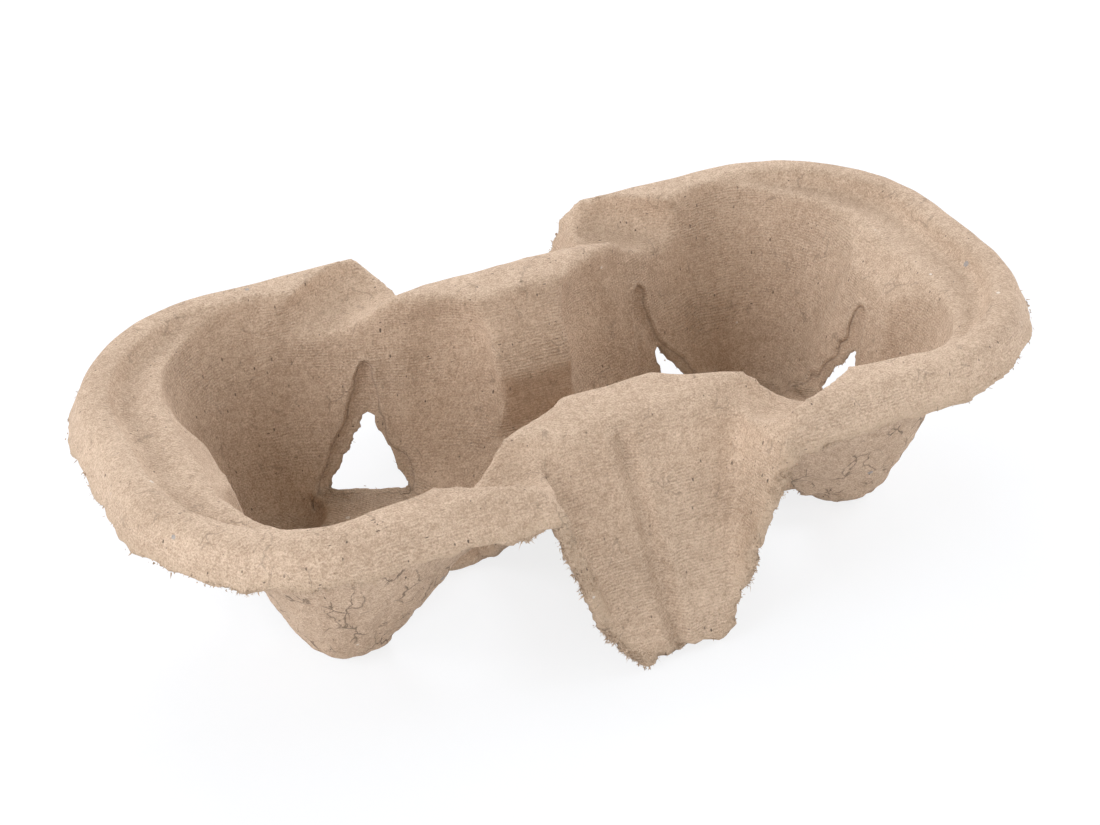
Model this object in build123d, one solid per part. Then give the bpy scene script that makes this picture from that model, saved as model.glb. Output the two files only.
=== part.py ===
import os
from math import atan, cos, degrees, radians, sin, tan

from build123d import *

# Carrier tray for two cups, moulded in one piece from paper pulp.
# Origin on the table at the middle of the tray, X along the row of cups, Z up. Millimetres.

# Overall sizes
length = 220.0
width = 112.0
height = 51.0
wall = 2.2
corner_radius = 44.5

# Rim bead: outer slope, rounded crown, step down to the end ledges
lip_drop = 8.7
lip_lean = 4.0
bead_width = 12.0
bead_inner_lean = 2.5
bead_round = 4.0
ledge_drop = 4.0
ledge_ramp = 16.0

# Cup pockets
end_margin = 59.0
side_margin = 10.4
seat_height = 7.0
flat_turn = 66.0
flat_seat = 23.2
flat_belly = 32.5
flat_mouth = 38.2
belly_share = 0.36
flat_facets = 4
corner_gain = 4.4
end_wall_reach = 20.5
end_wall_draft = 15.0
end_flare_drop = 11.5
end_flare = 0.9

# Feet under each pocket
foot_circle = 23.0
foot_turn = 60.0
foot_radius = 7.0
foot_round = 4.0
foot_belly = 18.4
foot_belly_share = 0.5
inner_foot_shift = 21.0
inner_foot_belly = 23.8
inner_foot_mouth = 29.2
inner_foot_share = 0.37

# Middle: two arches with aprons, and a low saddle between them
arch_drop = 1.6
arch_half = 42.0
arch_round = 8.0
shoulder_half = 36.5
apron_foot_half = 60.5
apron_hem_height = 1.5
apron_hem_half = 10.0
apron_knee_height = 11.0
apron_knee_half = 18.0
apron_top_half = 28.5
saddle_height = 16.0
saddle_half = 12.5
nose_half = 9.5
step_height = 31.0
step_half = 13.6
throat_half = 23.5
rim_clear = 1.5
groove_radius = 4.0
groove_depth = 1.2
groove_top_depth = 0.8
groove_top_x = -1.5
groove_foot_x = -5.0
groove_over = 0.3

# Troughs between the arches and the rim, falling into the pockets
trough_mouth = (22.0, 43.0)
trough_mouth_drop = 6.2
trough_mouth_radius = 13.0
trough_foot = (46.0, 38.5)
trough_foot_drop = 11.0
trough_foot_radius = 6.0
trough_start = 0.3

# End of each rim, cut off with a face that runs down beside the apron
rim_end_x = 30.8
rim_end_y = 49.7
rim_end_turn = 0.18
rim_end_bevel = 0.85
rim_knee_drop = 6.0
rim_end_lean = 0.36
skirt_height = 4.0

# Vent holes between the feet
vent_turn = 65.0
vent_base = 21.0
vent_height = 18.5
vent_round = 1.2
vent_start = 23.0
vent_sink = 1.0
panel_base = 27.0
panel_height = 27.0
panel_depth = 0.8

# Places that follow from the sizes above
lip_z = height - lip_drop
ledge_z = height - ledge_drop
arch_z = height - arch_drop
pocket_x = length / 2 - end_margin
pocket_top = width / 2 - side_margin
foot_x = foot_circle * cos(radians(foot_turn))
foot_y = foot_circle * sin(radians(foot_turn))
open_z = height + wall

# How far the cutting forms run past the sheet, and how much a slanting wall grows sideways
over = 1.0
above = 20.0
reach = length
slant_gain = 1.12


def outline(inset, z):
    shape = RectangleRounded(length - 2 * inset, width - 2 * inset, corner_radius - inset)
    return Pos(0, 0, z) * shape


# The tray is the same when turned half a turn, so paired forms are made once and turned
def pair(solid):
    return solid + Rot(0, 0, 180) * solid


# Filled form under the rim; depth lowers it by the sheet thickness to give the hollow
def rim_block(depth):
    side = depth / cos(atan(lip_lean / lip_drop))
    inner = bead_width - side
    lip_angle = degrees(atan(lip_lean / lip_drop))
    step_angle = degrees(atan(bead_inner_lean / ledge_drop))
    skirt = extrude(outline(side, skirt_height - depth), lip_z - skirt_height + depth)
    slope = extrude(outline(side, lip_z), lip_drop - depth, taper=lip_angle)
    slope = fillet(slope.edges().group_by(Axis.Z)[-1], bead_round - depth)
    recess = extrude(outline(inner, ledge_z - depth), above, taper=-step_angle)
    middle = ledge_stop(depth)
    throat = Box(2 * arch_half, 2 * (shoulder_half + rim_clear), 4 * height)
    return skirt + slope - (recess - middle) - throat - rim_gap(depth)


# Keeps the ledge to the ends of the tray, with a ramp up to the crown on each side
def ledge_stop(depth):
    slope = ledge_ramp / ledge_drop
    ramp_x = pocket_x + foot_x
    low = ledge_z - depth - over
    high = height - depth + over
    half_low = ramp_x + slope * (height - depth - low)
    half_high = ramp_x + slope * (height - depth - high)
    points = [(-half_low, low), (half_low, low), (half_high, high), (-half_high, high)]
    return extrude(Plane.XZ * make_face(Polyline(*points, close=True)), width, both=True)


# Wedge that is missing from the rim on each long side, bevelled at the crown
def rim_gap(depth):
    knee_z = height - rim_knee_drop
    offset = depth * (1 + rim_end_turn**2 + rim_end_lean**2) ** 0.5

    def gap_half(y, z):
        bevel = rim_end_bevel * max(z - knee_z, 0)
        lean = rim_end_lean * min(z - knee_z, 0)
        turn = rim_end_turn * (y - rim_end_y)
        return rim_end_x - rim_end_bevel * rim_knee_drop + bevel + lean + turn + offset

    def section(y):
        levels = (skirt_height - depth - over, knee_z, height + above)
        right = [(gap_half(y, z), z) for z in levels]
        left = [(-x, z) for x, z in reversed(right)]
        return Plane.XZ.offset(-y) * make_face(Polyline(*right, *left, close=True))

    return pair(loft([section(throat_half), section(width)], ruled=True))


# Filled form under the two arches and their aprons, made wide and cut to shape by the trim
def centre_block(depth):
    top = arch_z - depth
    lean = (apron_foot_half - shoulder_half) / arch_z
    inset = depth / cos(atan(lean))
    shoulder = shoulder_half + lean * depth - inset
    hem_z = -above if depth else apron_hem_height
    hem = apron_foot_half - inset - lean * hem_z
    side = [(-hem, hem_z), (hem, hem_z), (shoulder, top), (-shoulder, top)]
    side_face = make_face(Polyline(*side, close=True))
    side_face = fillet(side_face.vertices().group_by(Axis.Y)[-1], arch_round - depth)

    block = extrude(Plane.YZ * side_face, arch_half + depth, both=True)
    return block - apron_grooves(groove_radius + depth, lean)


# Shallow groove down the middle of each apron, running out at the shoulder
def apron_grooves(radius, lean):
    slant = atan(lean)
    low = groove_radius - groove_depth
    high = groove_radius - groove_top_depth
    foot = Vector(-groove_foot_x, apron_foot_half + low * cos(slant), low * sin(slant))
    top = Vector(-groove_top_x, shoulder_half + high * cos(slant), arch_z + high * sin(slant))
    axis = foot - top
    rod = Cylinder(
        radius,
        axis.length * (1 + 2 * groove_over),
        align=(Align.CENTER, Align.CENTER, Align.MIN),
    )
    return pair(Plane(top - axis * groove_over, x_dir=(1, 0, 0), z_dir=axis) * rod)


# Round-bottomed trough between each end of the arches and the rim, narrowing into the pocket
def troughs(depth):
    narrow = trough_foot_radius + depth
    widening = trough_mouth_radius - trough_foot_radius
    wide = narrow + (1 + trough_start) * widening
    rods = Part()
    for side in (-1, 1):
        mouth_z = height - trough_mouth_drop + trough_mouth_radius
        foot_z = height - trough_foot_drop + trough_foot_radius
        mouth = Vector(trough_mouth[0], side * trough_mouth[1], mouth_z)
        foot = Vector(trough_foot[0], side * trough_foot[1], foot_z)
        run = foot - mouth
        cone = Cone(
            wide,
            narrow,
            run.length * (1 + trough_start),
            align=(Align.CENTER, Align.CENTER, Align.MIN),
        )
        rods += Plane(mouth - run * trough_start, z_dir=run) * cone
        rods += Pos(*foot) * Sphere(narrow)
    return pair(rods)


# Cut that trims the lip level and the apron sides to a slant
def trim():
    points = [
        (apron_hem_half, -above),
        (apron_hem_half, apron_hem_height),
        (apron_knee_half, apron_knee_height),
        (apron_top_half, lip_z),
        (reach, lip_z),
        (reach, -above),
    ]
    face = make_face(Polyline(*points, close=True))
    return pair(extrude(Plane.XZ * face, width, both=True))


# Bell-shaped space turned about an upright axis
def bell(radii, heights, grow, bottom_round):
    wide = grow * slant_gain
    low, mid, high = [r + wide for r in radii]
    z_low, z_mid, z_high = heights[0] - grow, heights[1], heights[2]
    flank = ThreePointArc((low, z_low), (mid, z_mid), (high, z_high))
    edge = Polyline((high, z_high), (0, z_high), (0, z_low), (low, z_low))
    profile = make_face([flank, *edge.edges()])
    corner = profile.vertices().group_by(Axis.Y)[0].sort_by(Axis.X)[-1]
    return revolve(Plane.XZ * fillet(corner, bottom_round + grow), Axis.Z)


# Half-space behind one of the flat sides that carry the vents, bowed in facets like the flank of a cup
def flat_side(turn, heights, grow):
    wide = grow * slant_gain
    low, mid, high = [d + wide for d in (flat_seat, flat_belly, flat_mouth)]
    flank = ThreePointArc((low, heights[0] - grow), (mid, heights[1]), (high, heights[2]))
    bow = [flank @ (step / flat_facets) for step in range(flat_facets + 1)]
    back = [
        (high, heights[2] + above),
        (-reach, heights[2] + above),
        (-reach, heights[0] - above),
        (low, heights[0] - above),
    ]
    face = make_face(Polyline(*bow, *back, close=True))
    return Rot(0, 0, turn) * extrude(Plane.XZ * face, reach, both=True)


# Space of the right-hand cup pocket
def pocket_space(grow):
    levels = (seat_height, seat_height + belly_share * (height - seat_height), open_z)
    corners = [d + corner_gain for d in (flat_seat, flat_belly, flat_mouth)]
    cup = bell(corners, levels, grow, foot_round)
    for turn in (180 - flat_turn, 180 + flat_turn):
        cup &= flat_side(turn, levels, grow)
    draft = tan(radians(end_wall_draft))
    shift = grow / cos(radians(end_wall_draft))
    flare_z = height - end_flare_drop
    flare_x = end_wall_reach + shift + flare_z * draft
    flare_top = open_z + over
    wall_line = [
        (-reach, -above),
        (flare_x - (flare_z + above) * draft, -above),
        (flare_x, flare_z),
        (flare_x + (flare_top - flare_z) * end_flare, flare_top),
        (-reach, flare_top),
    ]
    end_limit = extrude(Plane.XZ * make_face(Polyline(*wall_line, close=True)), width, both=True)

    side_foot = bell(
        (foot_radius, foot_belly, pocket_top - foot_y),
        (wall, wall + foot_belly_share * (height - wall), open_z),
        grow,
        foot_round,
    )
    inner_foot = bell(
        (foot_radius, inner_foot_belly, inner_foot_mouth),
        (wall, wall + inner_foot_share * (height - wall), open_z),
        grow,
        foot_round,
    )
    space = (cup & end_limit) + Pos(-inner_foot_shift, 0, 0) * inner_foot
    for y in (-foot_y, foot_y):
        space += Pos(foot_x, y, 0) * side_foot
    nose = Box(2 * (nose_half - grow), reach, reach)
    return Pos(pocket_x, 0, 0) * space - nose


# Throat that joins the two pockets over the saddle
def throat_space(grow):
    wide = grow * slant_gain
    slope = (throat_half - step_half) / (arch_z - step_height)
    points = [
        (saddle_half + wide, saddle_height - grow),
        (step_half + wide, step_height),
        (throat_half + wide + slope * (open_z - arch_z), open_z),
    ]
    mirrored = [(-y, z) for y, z in reversed(points)]
    face = make_face(Polyline(*points, *mirrored, close=True))
    half = pocket_x - inner_foot_shift - foot_radius
    return extrude(Plane.YZ * face, half, both=True)


def cup_space(grow):
    return pair(pocket_space(grow)) + throat_space(grow)


# Three-sided prism standing on the seat, pointing out from a pocket
def prism(turn, base, tall, z, rounding):
    face = make_face(Polyline((-base / 2, z), (base / 2, z), (0, z + tall), close=True))
    face = fillet(face.vertices(), rounding)
    solid = extrude(Plane.YZ.offset(vent_start) * face, pocket_top - vent_start)
    return Pos(pocket_x, 0, 0) * Rot(0, 0, turn) * solid


def vents(base, tall, z, rounding):
    turns = (0, 180 - vent_turn, 180 + vent_turn)
    return Part() + [prism(turn, base, tall, z, rounding) for turn in turns]


filled = rim_block(0) + centre_block(0) - troughs(0)
hollow = rim_block(wall) + centre_block(wall) - troughs(wall)
lid = filled - hollow - (trim() - troughs(wall))
below = Pos(0, 0, lip_z - over) * Box(
    length, width, reach, align=(Align.CENTER, Align.CENTER, Align.MAX)
)
tray = lid + (cup_space(wall) & (filled + below)) - cup_space(0)

panels = vents(panel_base, panel_height, seat_height, vent_round) & pocket_space(panel_depth)
holes = vents(vent_base, vent_height, seat_height - wall - vent_sink, vent_round)
tray = tray - pair(panels + holes)

os.makedirs("parts", exist_ok=True)
export_step(tray, "parts/carrier_tray.step")
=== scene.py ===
import math

import bpy
import numpy as np
from mathutils import Matrix, Vector
from mathutils.bvhtree import BVHTree


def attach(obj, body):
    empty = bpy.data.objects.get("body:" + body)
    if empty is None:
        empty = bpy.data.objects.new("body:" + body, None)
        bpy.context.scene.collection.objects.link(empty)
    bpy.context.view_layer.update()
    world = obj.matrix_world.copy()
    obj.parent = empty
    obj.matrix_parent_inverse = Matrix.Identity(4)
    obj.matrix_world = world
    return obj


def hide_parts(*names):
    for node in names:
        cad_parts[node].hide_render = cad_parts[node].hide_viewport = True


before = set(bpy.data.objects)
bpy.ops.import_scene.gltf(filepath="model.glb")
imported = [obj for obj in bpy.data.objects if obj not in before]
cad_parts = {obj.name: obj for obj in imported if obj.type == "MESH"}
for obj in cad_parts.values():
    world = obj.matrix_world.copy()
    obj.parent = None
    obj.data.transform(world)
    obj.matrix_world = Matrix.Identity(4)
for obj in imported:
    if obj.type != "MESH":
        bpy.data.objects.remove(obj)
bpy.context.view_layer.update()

# Lengths of the tray are in millimetres, as in its source, and turned into metres by this
MM = 0.001

# Pocket centre, and the turns of the vent panels about it in degrees
POCKET_X = 51.0
VENT_TURNS = (0.0, 115.0, -115.0)

# How finely the pulp sheet is cut up before it is worked
GRAIN = 1.1

# Lean of the vent panels, and the height at which their reach from the pocket's axis is measured
PANEL_LEAN = 0.22
PANEL_MIDDLE_Z = 14.0

# Crease pressed around each vent: across the panel and up from the table
VENT_CREASE = (
    (-13.0, 7.0), (-9.4, 12.5), (-5.2, 17.0), (-3.8, 22.0), (-3.0, 28.0), (-2.2, 33.0), (0.0, 35.0),
    (2.4, 34.0), (3.6, 30.5), (4.8, 24.0), (6.4, 18.5), (9.0, 13.5), (13.4, 7.0),
)
CREASE_FAR = 9.0

# Tears in the sheet beside the vents: pocket side, turn of the panel, outline across and up
TEARS = (
    (-1.0, 115.0, ((-17.0, 2.0), (17.0, 2.0), (13.0, 13.0), (4.0, 22.0), (-4.0, 22.0), (-12.0, 13.0))),
)
TEAR_NEAR, TEAR_FAR = 18.0, 44.0

# Flaps of pulp left standing in a vent: as the tears, with the reach from the pocket's axis
FLAPS = (
    (1.0, 115.0,
     ((10.5, 4.5), (-2.4, 5.5), (-1.6, 12.0), (-0.6, 19.0), (2.0, 24.0), (6.0, 18.0)),
     29.5, 31.3),
)

# Groove down each apron: its place at the top, how far it leans on the way down, and its section
GROOVE_TOP_X = 4.0
GROOVE_LEAN = 3.5
GROOVE_TOP_Z = 45
GROOVE_FALL = 42
GROOVE_DEPTH, GROOVE_WIDTH = 1.5, 1.6
RIDGE_HEIGHT, RIDGE_WIDTH, RIDGE_OFFSET = 0.7, 1.4, 3.6

# Loose fibres at the torn edges
FIBRE_COUNT = 7000
FIBRE_SEED = 11
THICK_FIBRE, THIN_FIBRE, THICK_SHARE = 0.17, 0.07, 0.45

# Pitches of the mould screen's threads: level and upright on walls, slanting on flat places
LEVEL_PITCH, UPRIGHT_PITCH, SLANT_PITCH = 0.66, 0.8, 0.95
WALL_RADIUS = 32.0

# Colours of the pulp and of what is mixed into it, and the painted shade of its cracks, folds and weave
# hollows
KRAFT_DEEP = (0.340, 0.224, 0.140, 1)
KRAFT_PALE = (0.690, 0.504, 0.353, 1)
TORN_PULP = (0.66, 0.47, 0.31, 1)
DARK_FLECK = (0.085, 0.055, 0.036, 1)
PALE_FLECK = (0.74, 0.64, 0.53, 1)
COOL_FLECK = (0.22, 0.24, 0.25, 1)
# Painted shade drawn into the cracks
PAINTED_CRACK_SHADE = (0.12, 0.08, 0.05, 1)
# Painted shade along the folds round the vents and in the hollows of the weave
PAINTED_HOLLOW_SHADE = (0.22, 0.15, 0.10, 1)

# Studio: lamps by name, place in metres and power; the floor's own white and the light from all around
LAMPS = (
    ("left", (-1.1, 0.0, 0.6), 13.5),
    ("front", (-0.2, -1.2, 0.22), 9.8),
    ("right", (1.1, 0.1, 0.5), 11.5),
    ("back", (0.2, 1.1, 0.8), 14.2),
)
LAMP_SIZE = 0.9
LAMP_COLOUR = (0.92, 1.0, 1.14)
FLOOR_SIZE = 30.0
FLOOR_DROP = 0.2
FLOOR_WHITE = 0.8
ROOM_LIGHT = 0.46

# Camera, in degrees, millimetres and pixels of the photo
AZIMUTH, ELEVATION, ROLL = -24.49, 34.03, -1.58
CAMERA_DISTANCE = 521.04
FOCAL_PIXELS = 2259.14
AIM_ACROSS, AIM_DOWN = 563.2, 418.35
AIM_HEIGHT = 26.26
PHOTO_WIDTH, PHOTO_HEIGHT = 1100, 825
SENSOR_WIDTH = 36.0


# Flat plug with the outline of a tear or a flap
def plug_shape(half_turn, turn, outline, near, far):
    along = math.radians(turn)
    corners = []
    for reach in (near, far):
        for across, up in outline:
            out = reach + PANEL_LEAN * (up - PANEL_MIDDLE_Z)
            x = out * math.cos(along) - across * math.sin(along) + POCKET_X
            y = out * math.sin(along) + across * math.cos(along)
            corners.append((half_turn * x * MM, half_turn * y * MM, up * MM))
    count = len(outline)
    faces = [tuple(range(count))[::-1], tuple(range(count, 2 * count))]
    faces += [(i, (i + 1) % count, (i + 1) % count + count, i + count) for i in range(count)]
    mesh = bpy.data.meshes.new("plug")
    mesh.from_pydata(corners, [], faces)
    plug = bpy.data.objects.new("plug", mesh)
    bpy.context.scene.collection.objects.link(plug)
    return plug


# The moulded form with its tears and flaps, remeshed evenly
def remeshed_copy(node, name, voxel):
    mesh = node.data.copy()
    mesh.name = name
    piece = bpy.data.objects.new(name, mesh)
    bpy.context.scene.collection.objects.link(piece)
    work = [("DIFFERENCE", plug_shape(*tear, TEAR_NEAR, TEAR_FAR)) for tear in TEARS]
    work += [("UNION", plug_shape(*flap)) for flap in FLAPS]
    for operation, plug in work:
        change = piece.modifiers.new("plug", "BOOLEAN")
        change.operation = operation
        change.solver = "EXACT"
        change.object = plug
    modifier = piece.modifiers.new("even grain", "REMESH")
    modifier.mode = "VOXEL"
    modifier.voxel_size = voxel
    graph = bpy.context.evaluated_depsgraph_get()
    even = bpy.data.meshes.new_from_object(piece.evaluated_get(graph))
    piece.modifiers.clear()
    piece.data = even
    even.name = name
    for _, plug in work:
        bpy.data.objects.remove(plug)
    return piece


# Mesh data as arrays
def coordinates(mesh):
    values = np.empty(len(mesh.vertices) * 3)
    mesh.vertices.foreach_get("co", values)
    return values.reshape(-1, 3)


def put_coordinates(mesh, points):
    mesh.vertices.foreach_set("co", (points * MM).ravel())
    mesh.update()


def vertex_normals(mesh):
    values = np.empty(len(mesh.vertices) * 3)
    mesh.vertex_normals.foreach_get("vector", values)
    return values.reshape(-1, 3)


def edge_pairs(mesh):
    values = np.empty(len(mesh.edges) * 2, dtype=np.int64)
    mesh.edges.foreach_get("vertices", values)
    return values.reshape(-1, 2)


def add_measure(mesh, name, values):
    layer = mesh.attributes.new(name, "FLOAT", "POINT")
    layer.data.foreach_set("value", np.ascontiguousarray(values, dtype=np.float32))


def unit(vectors):
    return vectors / np.maximum(np.linalg.norm(vectors, axis=1), 1e-9)[:, None]


# Smooth step from 0 at the low value to 1 at the high one, which may be the smaller number
def ramp(values, low, high):
    share = np.clip((values - low) / (high - low), 0, 1)
    return share * share * (3 - 2 * share)


# Smoothing over the sheet
def neighbour_mean(values, pairs):
    total = np.zeros_like(values)
    first, second = pairs[:, 0], pairs[:, 1]
    for axis in range(values.shape[1]):
        total[:, axis] = np.bincount(first, values[second, axis], len(values))
        total[:, axis] += np.bincount(second, values[first, axis], len(values))
    count = np.bincount(pairs.ravel(), minlength=len(values))
    return total / np.maximum(count, 1)[:, None]


# Evens values out between neighbours; a share from 0 to 1 says how much at each point
def spread(values, pairs, rounds, share=1.0):
    for _ in range(rounds):
        values = values + share * 0.5 * (neighbour_mean(values, pairs) - values)
    return values


# Smoothing that rounds creases and keeps the sheet's size
def soften(points, pairs, rounds, pull=0.5, push=-0.52):
    for _ in range(rounds):
        points = points + pull * (neighbour_mean(points, pairs) - points)
        points = points + push * (neighbour_mean(points, pairs) - points)
    return points


# Smooth seeded unevenness, about -1 to 1, with bumps of the given size
def unevenness(points, size, seed, waves=28):
    random = np.random.default_rng(seed)
    heading = unit(random.normal(size=(waves, 3)))
    pitch = 2 * math.pi / (size * random.uniform(0.7, 1.5, waves))
    phase = random.uniform(0, 2 * math.pi, waves)
    total = np.cos(points @ (heading * pitch[:, None]).T + phase).sum(axis=1)
    return total / math.sqrt(waves)


# Distance from the crease around the nearest vent, on the side that faces the cup; inside is below 0
def crease_distance(points, normals):
    line = np.array(VENT_CREASE)
    nearest = np.full(len(points), CREASE_FAR)
    for half_turn in (1.0, -1.0):
        for turn in VENT_TURNS:
            along = math.radians(turn)
            local_x = half_turn * points[:, 0] - POCKET_X
            local_y = half_turn * points[:, 1]
            out = local_x * math.cos(along) + local_y * math.sin(along)
            across = local_y * math.cos(along) - local_x * math.sin(along)
            facing = half_turn * (normals[:, 0] * math.cos(along) + normals[:, 1] * math.sin(along))
            here = (out > 18) & (out < 42) & (facing < 0.1) & (np.abs(across) < 20)
            spots = np.stack([across[here], points[here, 2]], axis=1)
            best = np.full(len(spots), CREASE_FAR)
            inside = np.zeros(len(spots), dtype=bool)
            for start, end in zip(line[:-1], line[1:]):
                run = end - start
                share = np.clip((spots - start) @ run / (run @ run), 0, 1)
                gap = np.linalg.norm(spots - start - share[:, None] * run, axis=1)
                best = np.minimum(best, gap)
                spans = (start[0] <= spots[:, 0]) & (spots[:, 0] < end[0])
                under = spots[:, 1] < start[1] + (spots[:, 0] - start[0]) * run[1] / run[0]
                inside |= spans & under
            signed = np.where(inside, -best, best)
            nearest[here] = np.where(np.abs(signed) < np.abs(nearest[here]), signed, nearest[here])
    return nearest


# Share of each point that lies on the rough side, which cannot see straight up
def rough_side(mesh, points, normals):
    tree = BVHTree.FromPolygons(
        [tuple(p) for p in points], [tuple(f.vertices) for f in mesh.polygons]
    )
    starts = points + normals * 0.6
    up = Vector((0, 0, 1))
    blocked = [tree.ray_cast(Vector(p), up)[0] is not None for p in starts]
    return np.array(blocked, dtype=float)


# Groove down each apron with a soft ridge on both sides, leaning as it goes down
def apron_groove(points, normals):
    side = np.sign(points[:, 1])
    middle = side * (GROOVE_TOP_X - GROOVE_LEAN * (GROOVE_TOP_Z - points[:, 2]) / GROOVE_FALL)
    gap = np.abs(points[:, 0] - middle)
    face = ramp(normals[:, 1] * side, 0.3, 0.6) * ramp(np.abs(points[:, 1]), 34, 37)
    run = ramp(points[:, 2], 50, 44)
    groove = GROOVE_DEPTH * np.exp(-(gap / GROOVE_WIDTH) ** 2)
    ridges = RIDGE_HEIGHT * np.exp(-((gap - RIDGE_OFFSET) / RIDGE_WIDTH) ** 2)
    return (ridges - groove) * face * run


# Places on the sheet, as a share from 0 to 1: trimmed or torn edges of the lip, the aprons and the vents
def trimmed_share(points):
    far_x, far_y, high = np.abs(points[:, 0]), np.abs(points[:, 1]), points[:, 2]
    lip = ramp(far_y, 44, 47) + ramp(far_x, 92, 96)
    vents = ramp(high, 30, 26) * ramp(far_x, 22, 27)
    aprons = ramp(far_x, 38, 34) * ramp(far_y, 37, 39)
    return ramp(high, 45.5, 44) * np.clip(lip + vents + aprons, 0, 1)


# Ends of the rim beside the aprons
def rim_end_share(points):
    far_x, far_y, high = np.abs(points[:, 0]), np.abs(points[:, 1]), points[:, 2]
    return ramp(far_x, 44, 38) * ramp(far_y, 40, 43) * ramp(high, 40, 43)


# Troughs between the arches and the rim
def trough_share(points):
    far_x, far_y, high = np.abs(points[:, 0]), np.abs(points[:, 1]), points[:, 2]
    along = ramp(far_x, 60, 52) * ramp(far_x, 28, 34)
    return along * ramp(far_y, 28, 33) * ramp(far_y, 46, 42) * ramp(high, 26, 36)


# Middle of each apron
def apron_share(points):
    far_x, far_y = np.abs(points[:, 0]), np.abs(points[:, 1])
    return ramp(far_x, 15, 9) * ramp(far_y, 36, 39)


# Lip and apron sides around the corner between them
def beside_apron(points, far_end):
    far_x, far_y = np.abs(points[:, 0]), np.abs(points[:, 1])
    return ramp(far_x, far_end, 34) * ramp(far_y, 40, 46)


# Pulp sheet
def make_sheet():
    piece = remeshed_copy(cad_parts["carrier_tray"], "pulp_sheet", GRAIN * MM)
    mesh = piece.data
    points = coordinates(mesh) / MM
    pairs = edge_pairs(mesh)
    points = soften(points, pairs, 6)

    # Trimmed and torn edges stand away from their surroundings' mean
    pulled = points - spread(points, pairs, 10)
    pull = np.linalg.norm(pulled, axis=1)
    torn = ramp(pull, 0.3, 0.75) * trimmed_share(points)
    torn = np.clip(spread(torn[:, None], pairs, 5) * 1.8, 0, 1)
    outward = unit(spread(pulled * torn, pairs, 12))
    whole = 1 - torn[:, 0]

    # Felted fibre rounds the creases, but not the rim's ends, and the trim loses its steps
    crisp = spread(ramp(pull, 0.08, 0.3)[:, None], pairs, 2)
    crisp *= 1 - rim_end_share(points)[:, None]
    eased = spread(points, pairs, 1)
    eased = spread(eased, pairs, 3, crisp)
    eased = spread(eased, pairs, 9, np.minimum(crisp, torn))
    eased += outward * torn
    eased = soften(eased, pairs, 3)

    # The screen drapes into the troughs in long easy curves, and the aprons lie smooth
    eased = spread(eased, pairs, 18, (trough_share(eased) * whole)[:, None])
    eased = spread(eased, pairs, 40, (apron_share(eased) * whole)[:, None])

    # Steps of the rim, the ledges and the arches keep their edges
    kept = (ramp(eased[:, 2], 26, 34) * (1 - spread(torn, pairs, 6)[:, 0]))[:, None]
    eased = eased + 0.9 * kept * (eased - spread(eased, pairs, 14))

    put_coordinates(mesh, eased)
    normals = vertex_normals(mesh)
    rough = spread(rough_side(mesh, eased, normals)[:, None], pairs, 2)
    crease = crease_distance(eased, normals) + 0.7 * unevenness(eased, 6, 7)

    # Slow lumps over the whole sheet, and smaller ones on the rough side
    lump = 0.13 * unevenness(eased, 26, 1) + 0.08 * unevenness(eased, 9, 2)
    lump += rough[:, 0] * (0.16 * unevenness(eased, 5, 3) + 0.08 * unevenness(eased, 2.6, 4))

    # A fold and a pressed panel round each vent, and the grooves of the aprons
    panel = ramp(-crease, 0.4, 1.8)
    pressed = 0.6 * np.exp(-(crease / 1.1) ** 2) - panel * (0.7 + 0.2 * unevenness(eased, 5, 13))
    lump += pressed * whole
    lump += apron_groove(eased, normals)

    # Edges swell beside the aprons and are frayed, most of all at the lip
    lump += torn[:, 0] * beside_apron(eased, 44) * (0.35 + 0.3 * unevenness(eased, 3, 14))
    fray = 0.45 * unevenness(eased, 12, 5) + 0.30 * unevenness(eased, 6, 6)
    fray *= ramp(eased[:, 2], 26, 34) * 0.5 + 0.5
    worked = eased + normals * lump[:, None] + outward * torn * fray[:, None]
    worked[:, 2] = np.maximum(worked[:, 2], 0.0)
    put_coordinates(mesh, worked)

    add_measure(mesh, "torn", torn[:, 0])
    add_measure(mesh, "rough", rough[:, 0])
    add_measure(mesh, "crease", crease)
    add_measure(mesh, "wobble", unevenness(eased, 9, 9) * 0.22)
    add_measure(mesh, "patch", 0.62 + 0.4 * unevenness(eased, 24, 10))
    mesh.polygons.foreach_set("use_smooth", np.ones(len(mesh.polygons), dtype=bool))
    return piece, worked, outward, torn[:, 0]


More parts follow.
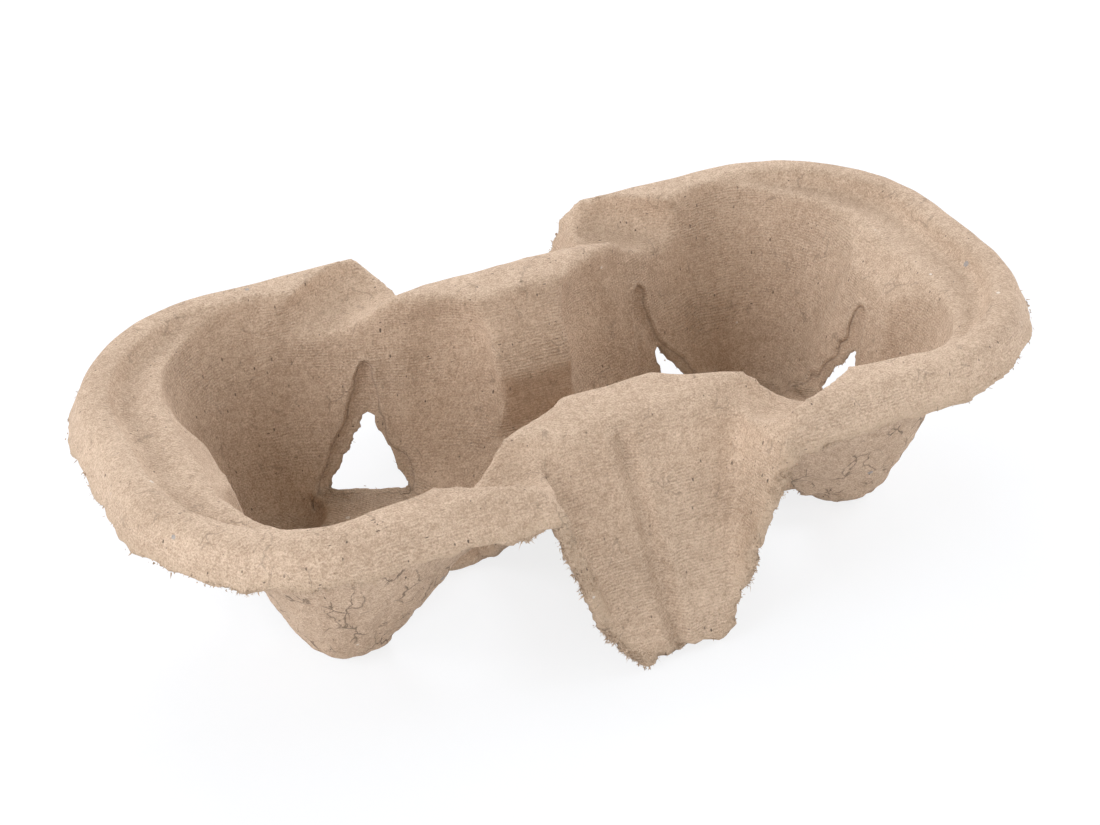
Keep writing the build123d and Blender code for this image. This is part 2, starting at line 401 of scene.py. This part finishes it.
# Loose fibres that stand out of the torn edges
def make_fibres(points, outward, torn):
    random = np.random.default_rng(FIBRE_SEED)
    edge = np.flatnonzero(torn > 0.7)
    density = 0.2 + np.clip(unevenness(points[edge], 14, 12), -0.1, 1.2)
    density = density * (1 + 2.5 * beside_apron(points[edge], 42))
    chosen = random.choice(edge, size=FIBRE_COUNT, p=density / density.sum())
    roots = points[chosen] - outward[chosen] * 0.3 + random.normal(size=(FIBRE_COUNT, 3)) * 0.35
    heading = unit(outward[chosen] + random.normal(size=(FIBRE_COUNT, 3)) * 0.75)
    bend = random.normal(size=(FIBRE_COUNT, 3)) * 0.45
    reach = np.exp(random.normal(-0.8, 0.4, FIBRE_COUNT))
    thick = np.where(random.random(FIBRE_COUNT) < THICK_SHARE, THICK_FIBRE, THIN_FIBRE)
    thick = thick * random.uniform(0.7, 1.3, FIBRE_COUNT)

    # Each fibre is a bent spike: two rings of three corners and a tip
    side = unit(np.cross(heading, random.normal(size=(FIBRE_COUNT, 3))))
    other = np.cross(heading, side)
    rings = []
    for share, width in ((0.0, 1.0), (0.55, 0.8)):
        centre = roots + (heading * share + bend * share**2) * reach[:, None]
        for angle in (0.0, 2.094, 4.189):
            offset = side * math.cos(angle) + other * math.sin(angle)
            rings.append(centre + offset * (thick * width)[:, None])
    rings.append(roots + (heading + bend) * reach[:, None])
    corners = np.stack(rings, axis=1)
    corners[:, :, 2] = np.maximum(corners[:, :, 2], 0.02)

    pattern = np.array([
        (0, 1, 4), (0, 4, 3), (1, 2, 5), (1, 5, 4), (2, 0, 3), (2, 3, 5),
        (3, 4, 6), (4, 5, 6), (5, 3, 6), (0, 2, 1),
    ])
    faces = (np.arange(FIBRE_COUNT)[:, None, None] * len(rings) + pattern).reshape(-1, 3)
    mesh = bpy.data.meshes.new("edge_fibres")
    mesh.from_pydata((corners.reshape(-1, 3) * MM).tolist(), [], faces.tolist())
    mesh.update()
    measures = {"torn": 1.0, "rough": 0.0, "crease": CREASE_FAR, "wobble": 0.0, "patch": 0.0}
    for name, value in measures.items():
        add_measure(mesh, name, np.full(len(mesh.vertices), value))
    piece = bpy.data.objects.new("edge_fibres", mesh)
    bpy.context.scene.collection.objects.link(piece)
    return piece


# Shader building blocks
class Nodes:
    def __init__(self, tree):
        self.tree = tree

    def put(self, socket, value):
        if hasattr(value, "is_output"):
            self.tree.links.new(value, socket)
        else:
            socket.default_value = value

    def math(self, operation, first, second=0.0, third=0.0, clamp=False):
        node = self.tree.nodes.new("ShaderNodeMath")
        node.operation = operation
        node.use_clamp = clamp
        for socket, value in zip(node.inputs, (first, second, third)):
            self.put(socket, value)
        return node.outputs[0]

    def add(self, *values):
        total = values[0]
        for value in values[1:]:
            total = self.math("ADD", total, value)
        return total

    def times(self, *values):
        total = values[0]
        for value in values[1:]:
            total = self.math("MULTIPLY", total, value)
        return total

    def wave(self, place, pitch):
        return self.math("SINE", self.times(place, 2 * math.pi / pitch))

    def vector(self, operation, first, second):
        node = self.tree.nodes.new("ShaderNodeVectorMath")
        node.operation = operation
        self.put(node.inputs[0], first)
        self.put(node.inputs[1], second)
        return node.outputs[0]

    def scale(self, vector, factors):
        return self.vector("MULTIPLY", vector, factors)

    def shift(self, vector, offset):
        return self.vector("ADD", vector, offset)

    def split(self, vector):
        node = self.tree.nodes.new("ShaderNodeSeparateXYZ")
        self.put(node.inputs[0], vector)
        return node.outputs

    def noise(self, vector, scale, detail=2.0, roughness=0.5, output="Fac"):
        node = self.tree.nodes.new("ShaderNodeTexNoise")
        self.put(node.inputs["Vector"], vector)
        node.inputs["Scale"].default_value = scale
        node.inputs["Detail"].default_value = detail
        node.inputs["Roughness"].default_value = roughness
        return node.outputs[output]

    def cells(self, vector, scale, feature="F1"):
        node = self.tree.nodes.new("ShaderNodeTexVoronoi")
        node.feature = feature
        self.put(node.inputs["Vector"], vector)
        node.inputs["Scale"].default_value = scale
        return node

    def range(self, value, low, high, to_low=0.0, to_high=1.0):
        node = self.tree.nodes.new("ShaderNodeMapRange")
        node.interpolation_type = "SMOOTHSTEP"
        for socket, number in zip(node.inputs, (value, low, high, to_low, to_high)):
            self.put(socket, number)
        return node.outputs[0]

    def mix(self, share, first, second):
        node = self.tree.nodes.new("ShaderNodeMix")
        node.data_type = "RGBA"
        self.put(node.inputs["Factor"], share)
        self.put(node.inputs[6], first)
        self.put(node.inputs[7], second)
        return node.outputs[2]

    def measure(self, name):
        node = self.tree.nodes.new("ShaderNodeAttribute")
        node.attribute_name = name
        return node.outputs["Fac"]


# Small solid specks scattered through the pulp, seen where the surface cuts them
def specks(n, place, scale, share, size):
    cells = n.cells(place, scale)
    pick = n.split(cells.outputs["Color"])[0]
    radius = n.range(pick, 1.0 - share, 1.0, 0.0, size * scale)
    inner = n.math("SUBTRACT", radius, cells.outputs["Distance"])
    return n.math("MULTIPLY", inner, 15.0 / scale, clamp=True)


# Weave of the mould screen: level and upright threads on walls, slanting threads on flat places
def screen_weave(n, place, lie, smooth_side):
    x, y, z = n.split(place)
    wobble = n.measure("wobble")
    reach = n.math("SUBTRACT", n.math("ABSOLUTE", x), POCKET_X)
    around = n.times(n.math("ARCTAN2", y, reach), WALL_RADIUS)
    level = n.wave(n.add(z, wobble), LEVEL_PITCH)
    upright = n.wave(n.add(around, wobble), UPRIGHT_PITCH)
    slant = n.wave(n.add(x, n.times(y, 0.8), wobble), SLANT_PITCH)
    on_walls = n.times(n.add(n.times(level, 0.7), n.times(upright, 0.3)), n.range(lie, 0.8, 0.5))
    low_down = n.range(z, 16.0, 10.0)
    on_flats = n.times(slant, n.range(lie, 0.8, 0.95), n.add(n.times(low_down, 1.4), 0.4))
    below_rim = n.range(z, 50.0, 47.5, 0.1, 1.0)
    return n.times(n.add(on_walls, on_flats), n.measure("patch"), below_rim, smooth_side)


# Short cracks, many on the rough side and few on the other, drawn only as painted shade
def pulp_cracks(n, place, rough):
    bent = n.shift(place, n.scale(n.noise(place, 0.35, output="Color"), (3.0, 3.0, 3.0)))
    gap = n.cells(n.scale(bent, (1.0, 1.0, 0.7)), 0.2, "DISTANCE_TO_EDGE").outputs["Distance"]
    patches = n.noise(n.shift(place, (40.0, 9.0, 3.0)), 0.16, 1.0)
    many = n.times(rough, n.range(patches, 0.5, 0.58), 0.9)
    few = n.times(n.range(patches, 0.6, 0.66), 0.5)
    return n.math("MULTIPLY", n.range(gap, 0.05, 0.0), n.add(many, few), clamp=True)


def pulp_material():
    material = bpy.data.materials.new("pulp")
    material.use_nodes = True
    tree = material.node_tree
    n = Nodes(tree)
    shader = tree.nodes["Principled BSDF"]
    shader.inputs["Roughness"].default_value = 0.92
    shader.inputs["Specular IOR Level"].default_value = 0.2

    place = tree.nodes.new("ShaderNodeTexCoord").outputs["Object"]
    place = n.scale(place, (1 / MM, 1 / MM, 1 / MM))
    normal = tree.nodes.new("ShaderNodeNewGeometry").outputs["Normal"]
    lie = n.math("ABSOLUTE", n.split(normal)[2])
    torn = n.measure("torn")
    rough = n.measure("rough")
    crease = n.measure("crease")
    smooth_side = n.math("SUBTRACT", 1.0, n.math("MAXIMUM", rough, torn))
    weave = screen_weave(n, place, lie, smooth_side)

    # Fibre grain, coarser on the rough side and roughest where torn
    fine = n.noise(place, 2.6, 2.0, 0.7)
    hair = n.noise(n.scale(place, (0.8, 3.2, 2.2)), 1.0, 1.0, 0.6)
    clump = n.noise(place, 0.55, 2.0, 0.55)
    coarse = n.add(0.08, n.times(rough, 0.55), n.times(torn, 0.9))
    grain = n.add(n.times(hair, 0.14), n.times(clump, coarse))
    grain = n.add(grain, n.times(fine, n.add(0.32, n.times(rough, 0.12), n.times(torn, 0.5))))
    fold = n.range(n.math("ABSOLUTE", crease), 0.7, 0.0)
    fold_edge = n.range(n.math("ABSOLUTE", n.add(crease, 0.9)), 0.4, 0.0)

    height = n.add(grain, n.times(weave, 0.08), n.times(fold, 0.2), n.times(fold_edge, -0.2))
    bump = tree.nodes.new("ShaderNodeBump")
    bump.inputs["Strength"].default_value = 1.0
    bump.inputs["Distance"].default_value = MM
    tree.links.new(height, bump.inputs["Height"])
    tree.links.new(bump.outputs["Normal"], shader.inputs["Normal"])

    # Kraft pulp, mottled, and paler where torn
    wide = n.noise(place, 0.05, 2.0)
    tone = n.add(n.times(wide, 0.10), n.times(clump, 0.12), n.times(fine, 0.38), n.times(hair, 0.12))
    colour = n.mix(n.range(tone, 0.235, 0.495), KRAFT_DEEP, KRAFT_PALE)
    colour = n.mix(n.times(torn, 0.5), colour, TORN_PULP)

    # Dark, pale and cool flecks
    upright_flecks = specks(n, n.scale(place, (1.0, 1.0, 0.38)), 0.7, 0.5, 0.27)
    level_flecks = specks(n, n.scale(n.shift(place, (7.0, 3.0, 5.0)), (0.3, 1.0, 1.0)), 0.7, 0.6, 0.2)
    dark = n.math("MAXIMUM", upright_flecks, level_flecks)
    dark = n.times(dark, n.range(clump, 0.35, 0.6, 0.3, 0.9))
    colour = n.mix(dark, colour, DARK_FLECK)
    pale = specks(n, n.shift(place, (90.0, 40.0, 10.0)), 0.2, 0.1, 0.6)
    colour = n.mix(n.times(pale, 0.8), colour, PALE_FLECK)
    cool = specks(n, n.shift(place, (20.0, 70.0, 30.0)), 0.16, 0.05, 0.8)
    colour = n.mix(n.times(cool, 0.6), colour, COOL_FLECK)

    # Painted shade in the cracks, along the folds round the vents, and in the hollows of the weave
    crack_shade = pulp_cracks(n, place, rough)
    colour = n.mix(n.times(crack_shade, 0.75), colour, PAINTED_CRACK_SHADE)
    colour = n.mix(n.times(fold_edge, 0.45), colour, PAINTED_HOLLOW_SHADE)
    weave_hollow_shade = n.times(n.range(weave, 0.3, -0.7), 0.18)
    colour = n.mix(weave_hollow_shade, colour, PAINTED_HOLLOW_SHADE)
    tree.links.new(colour, shader.inputs["Base Color"])
    return material


# Pale floor that looks white to the camera and keeps a soft shadow
def make_floor():
    bpy.ops.mesh.primitive_plane_add(size=FLOOR_SIZE, location=(0, 0, -FLOOR_DROP * MM))
    floor = bpy.context.object
    floor.name = "floor"
    material = bpy.data.materials.new("floor")
    material.use_nodes = True
    tree = material.node_tree
    shader = tree.nodes["Principled BSDF"]
    shader.inputs["Base Color"].default_value = (0.9, 0.9, 0.9, 1)
    shader.inputs["Roughness"].default_value = 0.9
    shader.inputs["Specular IOR Level"].default_value = 0.0
    white = tree.nodes.new("ShaderNodeEmission")
    white.inputs["Strength"].default_value = 1.0
    seen = tree.nodes.new("ShaderNodeLightPath")
    share = Nodes(tree).times(seen.outputs["Is Camera Ray"], FLOOR_WHITE)
    blend = tree.nodes.new("ShaderNodeMixShader")
    tree.links.new(share, blend.inputs[0])
    tree.links.new(shader.outputs[0], blend.inputs[1])
    tree.links.new(white.outputs[0], blend.inputs[2])
    tree.links.new(blend.outputs[0], tree.nodes["Material Output"].inputs["Surface"])
    floor.data.materials.append(material)


def make_lamp(name, place, power):
    data = bpy.data.lights.new(name, "AREA")
    data.energy = power
    data.size = LAMP_SIZE
    data.color = LAMP_COLOUR
    lamp = bpy.data.objects.new(name, data)
    bpy.context.scene.collection.objects.link(lamp)
    lamp.location = place
    lamp.rotation_mode = "QUATERNION"
    lamp.rotation_quaternion = (-Vector(place)).to_track_quat("-Z", "Y")


# Even light from all around, with a white backdrop for the camera
def make_world():
    world = bpy.data.worlds.new("studio")
    bpy.context.scene.world = world
    world.use_nodes = True
    tree = world.node_tree
    backdrop = tree.nodes["Background"]
    backdrop.inputs["Color"].default_value = (1, 1, 1, 1)
    seen = tree.nodes.new("ShaderNodeLightPath")
    n = Nodes(tree)
    level = n.math("MULTIPLY_ADD", seen.outputs["Is Camera Ray"], 1 - ROOM_LIGHT, ROOM_LIGHT)
    tree.links.new(level, backdrop.inputs["Strength"])


# Camera that sees the tray as the photo does
def make_camera():
    azimuth, elevation, roll = (math.radians(a) for a in (AZIMUTH, ELEVATION, ROLL))
    back = Vector((math.sin(azimuth) * math.cos(elevation),
                   -math.cos(azimuth) * math.cos(elevation), math.sin(elevation)))
    right = Vector((math.cos(azimuth), math.sin(azimuth), 0))
    up = back.cross(right)
    right_rolled = right * math.cos(roll) + up * math.sin(roll)
    up_rolled = up * math.cos(roll) - right * math.sin(roll)
    place = Vector((0, 0, AIM_HEIGHT)) + back * CAMERA_DISTANCE
    place -= right_rolled * (AIM_ACROSS - PHOTO_WIDTH / 2) / FOCAL_PIXELS * CAMERA_DISTANCE
    place += up_rolled * (AIM_DOWN - PHOTO_HEIGHT / 2) / FOCAL_PIXELS * CAMERA_DISTANCE
    data = bpy.data.cameras.new("camera")
    data.sensor_width = SENSOR_WIDTH
    data.lens = FOCAL_PIXELS / PHOTO_WIDTH * SENSOR_WIDTH
    data.clip_start = 0.01
    camera = bpy.data.objects.new("camera", data)
    bpy.context.scene.collection.objects.link(camera)
    turn = Matrix((right_rolled, up_rolled, back)).transposed()
    camera.matrix_world = Matrix.Translation(place * MM) @ turn.to_4x4()
    bpy.context.scene.camera = camera


sheet, sheet_points, sheet_outward, sheet_torn = make_sheet()
fibres = make_fibres(sheet_points, sheet_outward, sheet_torn)
pulp = pulp_material()
for piece in (sheet, fibres):
    piece.data.materials.clear()
    piece.data.materials.append(pulp)
    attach(piece, "root")
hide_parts("carrier_tray")

make_floor()
make_camera()
for lamp_name, lamp_place, lamp_power in LAMPS:
    make_lamp(lamp_name, lamp_place, lamp_power)
make_world()
bpy.context.scene.view_settings.view_transform = "Standard"
